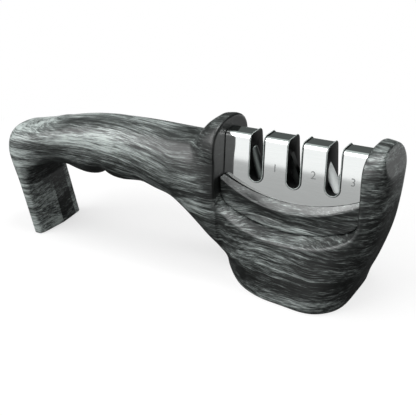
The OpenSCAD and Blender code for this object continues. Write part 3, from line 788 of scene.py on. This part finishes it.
def build_highlight_bead(stage, at):
    """Thin pale bead on the black rim round a slot, a painted highlight line: over the top and round the
    slot's foot on both faces.
    """
    r = SLOT_W / 2 - FIT - RIM_WALL / 2
    centre = SLOT_Z + SLOT_W / 2
    section = cover_outline(-BEAD_PROUD, centre)
    steps = 24
    arc = [(-r * cos(pi * i / steps), centre - r * sin(pi * i / steps)) for i in range(1, steps)]
    route = [(at - r, y, z) for y, z in section]
    route += [(at + x, -cover_half(z, -BEAD_PROUD), z) for x, z in arc]
    route += [(at + r, y, z) for y, z in section[::-1]]
    route += [(at + x, cover_half(z, -BEAD_PROUD), z) for x, z in arc[::-1]]
    data = bpy.data.curves.new("bead_route", "CURVE")
    data.dimensions = "3D"
    data.bevel_depth = BEAD_R * MM
    data.bevel_resolution = 2
    spline = data.splines.new("POLY")
    spline.points.add(len(route) - 1)
    for point, place in zip(spline.points, route):
        point.co = (*(Vector(place) * MM), 1)
    spline.use_cyclic_u = True
    tube = add_object("bead_route", data)
    bead = add_object("slot_highlight_bead_" + stage, drawn_mesh(tube))
    bpy.data.objects.remove(tube)
    shade(bead, angle=80)
    dress(bead, painted_highlight_edge())
    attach(bead, "cartridge")


def add_number(text, at):
    """Stage number, etched on the front of the cover."""
    data = bpy.data.curves.new("stage_number_" + text, "FONT")
    data.body = text
    data.size = NUMBER_SIZE * MM
    data.extrude = NUMBER_EXTRUDE * MM
    data.align_x, data.align_y = "CENTER", "CENTER"
    words = add_object("stage_number_words", data)
    bpy.context.view_layer.update()
    place = Vector((at, -cover_half(NUMBER_Z), NUMBER_Z)) * MM
    words.matrix_world = Matrix.Translation(place) @ Matrix.Rotation(pi / 2 - COVER_LEAN, 4, "X")
    bpy.context.view_layer.update()
    mesh = drawn_mesh(words)
    mesh.transform(words.matrix_world)
    bpy.data.objects.remove(words)
    piece = add_object("stage_number_" + text, mesh)
    dress(piece, etched())
    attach(piece, "cartridge")


class Nodes:
    """Short way to write the node tree of a material or of the world."""

    def __init__(self, owner, output="ShaderNodeOutputMaterial"):
        self.owner = owner
        owner.use_nodes = True
        self.tree = owner.node_tree
        self.tree.nodes.clear()
        self.out = self.add(output)

    def add(self, kind, inputs=None, **fields):
        node = self.tree.nodes.new(kind)
        for key, value in fields.items():
            setattr(node, key, value)
        for key, value in (inputs or {}).items():
            if isinstance(value, bpy.types.NodeSocket):
                self.tree.links.new(value, node.inputs[key])
            else:
                node.inputs[key].default_value = value
        return node

    def show(self, shader):
        """Makes a shader what the tree gives out."""
        self.tree.links.new(shader.outputs[0], self.out.inputs[0])

    def surface(self, inputs):
        self.show(self.add("ShaderNodeBsdfPrincipled", inputs))

    def place(self, kind="Object"):
        return self.add("ShaderNodeTexCoord").outputs[kind]

    def split(self, vector):
        return self.add("ShaderNodeSeparateXYZ", {0: vector}).outputs

    def math(self, operation, a, b=0.0):
        return self.add("ShaderNodeMath", {0: a, 1: b}, operation=operation).outputs[0]

    def vector(self, operation, a, b):
        return self.add("ShaderNodeVectorMath", {0: a, 1: b}, operation=operation).outputs[0]

    def noise(self, place, scale, detail, roughness=0.5, distortion=0.0):
        inputs = {"Vector": place, "Scale": scale, "Detail": detail, "Roughness": roughness,
                  "Distortion": distortion}
        return self.add("ShaderNodeTexNoise", inputs).outputs["Fac"]

    def ramp(self, value, stops):
        """Colour ramp through (place, colour) stops."""
        node = self.add("ShaderNodeValToRGB", {"Fac": value})
        band = node.color_ramp
        band.elements[0].position, band.elements[1].position = stops[0][0], stops[-1][0]
        for place, _ in stops[1:-1]:
            band.elements.new(place)
        for element, (_, colour) in zip(band.elements, stops):
            element.color = (*colour, 1)
        return node.outputs["Color"]

    def remap(self, value, low, high, to_low=0.0, to_high=1.0):
        return self.add("ShaderNodeMapRange", {"Value": value, "From Min": low, "From Max": high,
                                               "To Min": to_low, "To Max": to_high}).outputs[0]

    def within(self, *limits):
        """Product of several remaps, each given as a value and the range that it is remapped from."""
        share = self.remap(*limits[0])
        for limit in limits[1:]:
            share = self.math("MULTIPLY", share, self.remap(*limit))
        return share

    def mix_values(self, factor, a, b):
        return self.add("ShaderNodeMix", {0: factor, 2: a, 3: b}).outputs[0]

    def mix_colours(self, factor, a, b):
        return self.add("ShaderNodeMix", {0: factor, 6: a, 7: b}, data_type="RGBA").outputs[2]

    def mix_shaders(self, factor, a, b):
        return self.add("ShaderNodeMixShader", {0: factor, 1: a.outputs[0], 2: b.outputs[0]})


def grey(level, tint=(0.93, 1.035, 1.0)):
    """Grey with a slight green tint."""
    return tuple(level * t for t in tint)


def pale(level):
    """Nearly neutral grey."""
    return grey(level, (0.985, 1.005, 1.0))


made_materials = {}


def once(make):
    """Makes a function's material at its first call and hands out the same one after that."""
    def wrapped():
        if make.__name__ not in made_materials:
            made_materials[make.__name__] = make()
        return made_materials[make.__name__]
    return wrapped


# Most of a noise's values lie in this range
NOISE_RANGE = (0.3, 0.7)
# Slow waves that bend the grain: their scales and how far they swing, in millimetres
HANDLE_WAVE = ((0.016, 0.05, 0.05), 7.0)
HEAD_WAVE = ((0.02, 0.03, 0.02), 10.0)
# Broad, middle and fine streaks: scales on the handle and on the head, detail, roughness, distortion
WOOD_NOISES = [
    ((0.014, 0.1, 0.1), (0.016, 0.11, 0.03), 2.0, 0.5, 0.2),
    ((0.045, 0.7, 0.7), (0.05, 0.75, 0.15), 4.0, 0.7, 0.25),
    ((0.13, 2.3, 2.3), (0.14, 2.4, 0.5), 3.0, 0.75, 0.0),
]
WOOD_WEIGHTS = (0.3, 0.36, 0.34)
# Lighter at the elbow, darker on the head: from and to along X, and what is added there
ELBOW_LIGHTER = (-150.0, -125.0, 0.045, 0.0)
HEAD_DARKER = (-74.0, -44.0, 0.006, -0.028)
# Sum of the streaks at the ramp's ends, and the ramp
WOOD_RANGE = (0.403, 0.597)
WOOD_RAMP = [(0.0, grey(0.006)), (0.25, grey(0.02)), (0.45, grey(0.075)), (0.68, grey(0.2)),
             (1.0, grey(0.5))]
# Painted shade on faces that the light hardly reaches: distances in millimetres between which it
# fades in or out, and how much it takes off the sum of the streaks
WALL_BAND = (0.25, 0.7, 1.0, 0.0)
REAR_HORN_FROM = (-42.0, -36.0, 0.0, 0.35)
REAR_HORN_TO = (-34.0, -34.6)
HORN_FOOT = (40.0, 46.0)
LEG_BACK = (-150.0, -147.0)
LEG_FRONT = (-132.0, -136.0)
LEG_MIDDLE = (0.0, 0.5)
LEG_SIDE = (12.6, 11.6)
LEG_TOP = (43.0, 38.0)
UNDERSIDE = (-0.2 * GRAIN_R, -0.95 * GRAIN_R, 0.0, 0.8)
UNDER_FROM = (-56.0, -34.0)
UNDER_TO = (-60.0, -78.0)
PAINTED_SHADE_AMOUNT = -0.1


def painted_shade_print(n, layers, grain):
    """Painted shade: darker on the horns' inner faces, on the back half inside the leg, and on the
    handle's underside with the inside of its bend, where shade falls."""
    x, z, y = n.split(layers)
    along, height, _ = n.split(grain)
    from_wall = n.math("SUBTRACT", n.math("ABSOLUTE", x), SADDLE_W / 2)
    wall = n.remap(n.math("ABSOLUTE", from_wall), *WALL_BAND)
    rear = n.within((x, *REAR_HORN_FROM), (x, *REAR_HORN_TO))
    wall = n.math("MULTIPLY", n.math("MAXIMUM", wall, rear), n.remap(z, *HORN_FOOT))
    leg = n.within((x, *LEG_BACK), (x, *LEG_FRONT), (y, *LEG_MIDDLE), (y, *LEG_SIDE), (z, *LEG_TOP))
    under = n.within((height, *UNDERSIDE), (along, *UNDER_FROM), (x, *UNDER_TO))
    darker = n.math("MAXIMUM", n.math("MAXIMUM", wall, leg), under)
    return n.math("MULTIPLY", darker, PAINTED_SHADE_AMOUNT)


@once
def wood_material():
    """Printed wood grain: charcoal and grey green streaks that run along the handle, level on the head,
    with painted shade where the light hardly reaches.
    """
    n = Nodes(bpy.data.materials.new("wood_print"))

    def attribute(name, output="Vector"):
        return n.add("ShaderNodeAttribute", attribute_name=name).outputs[output]

    def bent(place, slow, swing):
        wave = n.noise(n.vector("MULTIPLY", place, slow), scale=1.0, detail=2.0)
        shift = n.math("MULTIPLY", n.math("SUBTRACT", wave, 0.5), swing)
        return n.vector("ADD", place, n.add("ShaderNodeCombineXYZ", {1: shift, 2: shift}).outputs[0])

    def streaks(handle_scale, head_scale, *shape):
        on_handle = n.noise(n.vector("MULTIPLY", handle, handle_scale), 1.0, *shape)
        on_head = n.noise(n.vector("MULTIPLY", head, head_scale), 1.0, *shape)
        return n.mix_values(attribute("head_share", "Fac"), on_handle, on_head)

    handle = bent(attribute("grain"), *HANDLE_WAVE)
    head = bent(attribute("layers"), *HEAD_WAVE)
    noises = [streaks(*values) for values in WOOD_NOISES]
    parts = [n.math("MULTIPLY", noise, weight) for noise, weight in zip(noises, WOOD_WEIGHTS)]
    x = n.split(attribute("layers"))[0]
    parts += [n.remap(x, *ELBOW_LIGHTER), n.remap(x, *HEAD_DARKER)]
    # Painted shade: darker where the faces are turned from the light or tucked under the handle
    parts.append(painted_shade_print(n, attribute("layers"), attribute("grain")))
    total = parts[0]
    for part in parts[1:]:
        total = n.math("ADD", total, part)
    n.surface({"Base Color": n.ramp(n.remap(total, *WOOD_RANGE), WOOD_RAMP),
               "Roughness": n.remap(noises[1], *NOISE_RANGE, 0.42, 0.5), "Specular IOR Level": 0.3,
               "Coat Weight": 0.5, "Coat Roughness": 0.25})
    return n.owner


@once
def steel_material():
    """Polished sheet with a fine level brush."""
    n = Nodes(bpy.data.materials.new("stainless"))
    brush_scale = (120.0, 600.0, 6000.0)
    brush = n.noise(n.vector("MULTIPLY", n.place(), brush_scale), scale=1.0, detail=2.0)
    colour = n.ramp(n.remap(brush, *NOISE_RANGE), [(0.0, (0.87, 0.88, 0.875)), (1.0, (0.92, 0.93, 0.925))])
    rough = n.remap(brush, *NOISE_RANGE, 0.045, 0.065)
    n.surface({"Base Color": colour, "Metallic": 1.0, "Roughness": rough})
    return n.owner


def grained(name, scale, dark, light, roughness, detail=3.0, grain_roughness=0.6, bump=None, more=None):
    """Material with a fine even grain between two colours and two roughnesses. A bump is given as
    its strength and its depth in metres, and more holds further inputs of the surface."""
    n = Nodes(bpy.data.materials.new(name))
    grain = n.noise(n.place(), scale, detail, grain_roughness)
    inputs = {"Base Color": n.ramp(grain, list(zip(NOISE_RANGE, (dark, light)))),
              "Roughness": n.remap(grain, *NOISE_RANGE, *roughness)}
    if bump:
        raised = n.add("ShaderNodeBump", {"Height": grain, "Strength": bump[0], "Distance": bump[1]})
        inputs["Normal"] = raised.outputs[0]
    inputs.update(more or {})
    n.surface(inputs)
    return n.owner


@once
def black_plastic():
    return grained("black_plastic", scale=3800.0, dark=(0.003, 0.0033, 0.0033),
                   light=(0.007, 0.0075, 0.0075), roughness=(0.38, 0.5), detail=2.0,
                   bump=(0.05, 0.0001), more={"Specular IOR Level": 0.12})


@once
def painted_highlight_edge():
    """Edges of the black plastic, coloured light grey as a painted highlight."""
    return grained("black_plastic_painted_highlight", scale=1500.0, dark=grey(0.28), light=grey(0.5),
                   roughness=(0.2, 0.3), detail=2.0, more={"Specular IOR Level": 0.6})


@once
def rubber():
    return grained("rubber", scale=2600.0, dark=(0.016, 0.016, 0.016), light=(0.034, 0.034, 0.034),
                   roughness=(0.7, 0.9), grain_roughness=0.7, bump=(0.3, 0.0002))


@once
def ceramic():
    return grained("ceramic", scale=1800.0, dark=(0.72, 0.76, 0.75), light=(0.8, 0.84, 0.83),
                   roughness=(0.3, 0.4))


@once
def etched():
    return grained("etched", scale=4000.0, dark=(0.2, 0.21, 0.21), light=(0.3, 0.31, 0.31),
                   roughness=(0.5, 0.7), more={"Metallic": 0.6})


def metal(name, scale, dark, light, roughness, strength=0.1):
    """Grained metal; the strength is its bump's."""
    return grained(name, scale, grey(dark), grey(light), roughness, bump=(strength, 0.0001),
                   more={"Metallic": 1.0})


@once
def screw_steel():
    return metal("screw_steel", scale=1500.0, dark=0.42, light=0.58, roughness=(0.25, 0.4))


@once
def keeper_steel():
    return metal("keeper_steel", scale=900.0, dark=0.35, light=0.48, roughness=(0.3, 0.45))


@once
def diamond_coat():
    return metal("diamond_coat", scale=9000.0, dark=0.05, light=0.22, roughness=(0.4, 0.6), strength=0.5)


@once
def carbide():
    return metal("carbide", scale=500.0, dark=0.03, light=0.045, roughness=(0.3, 0.36), strength=0.02)


# Camera, found by fitting the photo; lengths in millimetres, brought to the part's size by the scale
CAM_TURN = radians(29.4)
CAM_RISE = radians(24.4)
CAM_ROLL = radians(-0.98)
CAM_FOCAL_PX = 900.0
IMAGE_PX = 416.0
CAM_SCALE = 0.93
CAM_DISTANCE = 445 * CAM_SCALE
CAM_TARGET = Vector((0, 0, 40)) * CAM_SCALE
CAM_TARGET_PX = (299.0, 208.0)
# Lamps: name, place and target in metres, side in metres and power in watts
LAMPS = [
    ("key", (-0.55, -0.62, 0.85), (-0.04, 0, 0.03), 1.1, 14.5),
    ("front", (0.25, -0.95, 0.55), (0.0, 0, 0.03), 0.5, 3.0),
    ("top", (0.1, 0.1, 1.05), (-0.02, 0, 0.05), 0.5, 5.0),
]
# Floor: half its side in metres and its squares on a side
FLOOR_REACH = 1.6
FLOOR_SQUARES = 24
# The shadow's middle in metres, and how the plain white in the camera's view grows away from it
SHADOW_AT = (-0.1, 0.02, 0)
SHADOW_FADE = (0.04, 0.21, 0.55, 1.0)
# The floor's colour as the camera sees it, and as it lights the object from below
FLOOR_COLOUR = 0.93
FLOOR_BOUNCE = 0.14
# What a polished sheet sees of the floor, from the middle to half a metre out to either side
MIRROR_SPAN = (0.0, 0.5)
MIRROR_RAMP = [(0.0, pale(0.03)), (0.2, pale(0.08)), (0.34, pale(0.42)), (0.54, pale(0.46)),
               (0.56, pale(1.0)), (1.0, pale(1.0))]
# What a polished sheet sees of the world, by height: behind the object and on the viewer's side
BEHIND_RAMP = [(0.1, grey(0.08)), (0.45, grey(0.1)), (0.62, grey(0.4)), (0.9, grey(0.55))]
BEFORE_RAMP = [(0.15, pale(1.0)), (0.5, pale(0.7)), (0.7, pale(0.55)), (0.9, pale(0.55))]
BEHIND_TO_BEFORE = (0.1, -0.3)
WORLD_LIGHT = (0.15, 0.15, 0.15, 1)
WHITE = (1, 1, 1, 1)


def add_camera():
    """Camera at the place from which the photo was taken."""
    ca, sa, ce, se = cos(CAM_TURN), sin(CAM_TURN), cos(CAM_RISE), sin(CAM_RISE)
    back = Vector((sa * ce, -ca * ce, se))
    level = Vector((ca, sa, 0))
    steep = back.cross(level)
    c, s = cos(CAM_ROLL), sin(CAM_ROLL)
    right, up = c * level + s * steep, -s * level + c * steep
    off_x = (CAM_TARGET_PX[0] - IMAGE_PX / 2) / CAM_FOCAL_PX
    off_y = (CAM_TARGET_PX[1] - IMAGE_PX / 2) / CAM_FOCAL_PX
    place = CAM_TARGET + CAM_DISTANCE * (back - off_x * right + off_y * up)
    data = bpy.data.cameras.new("camera")
    data.sensor_width = 36.0
    data.lens = CAM_FOCAL_PX / IMAGE_PX * data.sensor_width
    data.clip_start, data.clip_end = 0.01, 20.0
    cam = add_object("camera", data)
    turn = Matrix((right, up, back)).transposed()
    cam.matrix_world = Matrix.Translation(place * MM) @ turn.to_4x4()
    bpy.context.scene.camera = cam


def area_light(name, place, target, size, power):
    """Square lamp that faces its target."""
    data = bpy.data.lights.new(name, "AREA")
    data.shape = "RECTANGLE"
    data.size, data.size_y = size, size
    data.energy = power
    lamp = add_object(name, data)
    direction = Vector(target) - Vector(place)
    lamp.matrix_world = Matrix.Translation(place) @ direction.to_track_quat("-Z", "Y").to_matrix().to_4x4()


def add_floor():
    """White floor with the object's shadow. It throws less light up than a white one, and a polished
    sheet sees it grey close by and white further out."""
    bm = bmesh.new()
    bmesh.ops.create_grid(bm, x_segments=FLOOR_SQUARES, y_segments=FLOOR_SQUARES, size=FLOOR_REACH)
    mesh = bpy.data.meshes.new("floor")
    bm.to_mesh(mesh)
    bm.free()
    floor = add_object("floor", mesh)
    n = Nodes(bpy.data.materials.new("floor"))
    path = n.add("ShaderNodeLightPath").outputs
    place = n.place()
    far = n.add("ShaderNodeVectorMath", {0: n.vector("SUBTRACT", place, SHADOW_AT)}, operation="LENGTH")
    fade = n.remap(far.outputs["Value"], *SHADOW_FADE)
    seen = n.math("MULTIPLY", path["Is Camera Ray"], fade)
    colour = n.mix_values(path["Is Diffuse Ray"], FLOOR_COLOUR, FLOOR_BOUNCE)
    diffuse = n.add("ShaderNodeBsdfDiffuse", {"Color": colour})
    glow = n.add("ShaderNodeEmission", {"Color": WHITE, "Strength": 1.0})
    out_from = n.remap(n.math("ABSOLUTE", n.split(place)[1]), *MIRROR_SPAN)
    mirror = n.add("ShaderNodeEmission", {"Color": n.ramp(out_from, MIRROR_RAMP), "Strength": 1.0})
    n.show(n.mix_shaders(path["Is Glossy Ray"], n.mix_shaders(seen, diffuse, glow), mirror))
    dress(floor, n.owner)


def add_world():
    """Soft even light. Polished faces see it darker behind the object, and the camera sees white."""
    world = bpy.data.worlds.new("studio")
    bpy.context.scene.world = world
    n = Nodes(world, "ShaderNodeOutputWorld")
    path = n.add("ShaderNodeLightPath").outputs
    _, across, height = n.split(n.place("Generated"))
    behind, before = n.ramp(height, BEHIND_RAMP), n.ramp(height, BEFORE_RAMP)
    mirror = n.mix_colours(n.remap(across, *BEHIND_TO_BEFORE), behind, before)
    level = n.mix_colours(path["Is Glossy Ray"], WORLD_LIGHT, mirror)
    shown = n.mix_colours(path["Is Camera Ray"], level, WHITE)
    n.show(n.add("ShaderNodeBackground", {"Color": shown, "Strength": 1.0}))


add_camera()
add_floor()
add_world()
bpy.context.scene.view_settings.view_transform = "Standard"
for lamp in LAMPS:
    area_light(*lamp)

build_shells()
build_tray()
build_cover()
build_slot_frame()
# Each number stands on the steel to the right of its slot
for index, stage in enumerate("123"):
    build_highlight_bead(stage, (index - 1) * SLOT_PITCH)
    add_number(stage, (index - 0.5) * SLOT_PITCH)

PLAIN = {
    "base_plate": black_plastic, "base_pad": rubber, "foot_cap": black_plastic, "foot_pad": rubber,
    "shell_screws": screw_steel, "base_screws": screw_steel, "rod_keeper": keeper_steel,
    "diamond_rod_front": diamond_coat, "diamond_rod_back": diamond_coat,
    "carbide_blade_front": carbide, "carbide_blade_back": carbide,
    "ceramic_rod_front": ceramic, "ceramic_rod_back": ceramic,
    "keeper_screws": screw_steel, "tray_screws": screw_steel,
}
for node, material in PLAIN.items():
    dress(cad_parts[node], material())
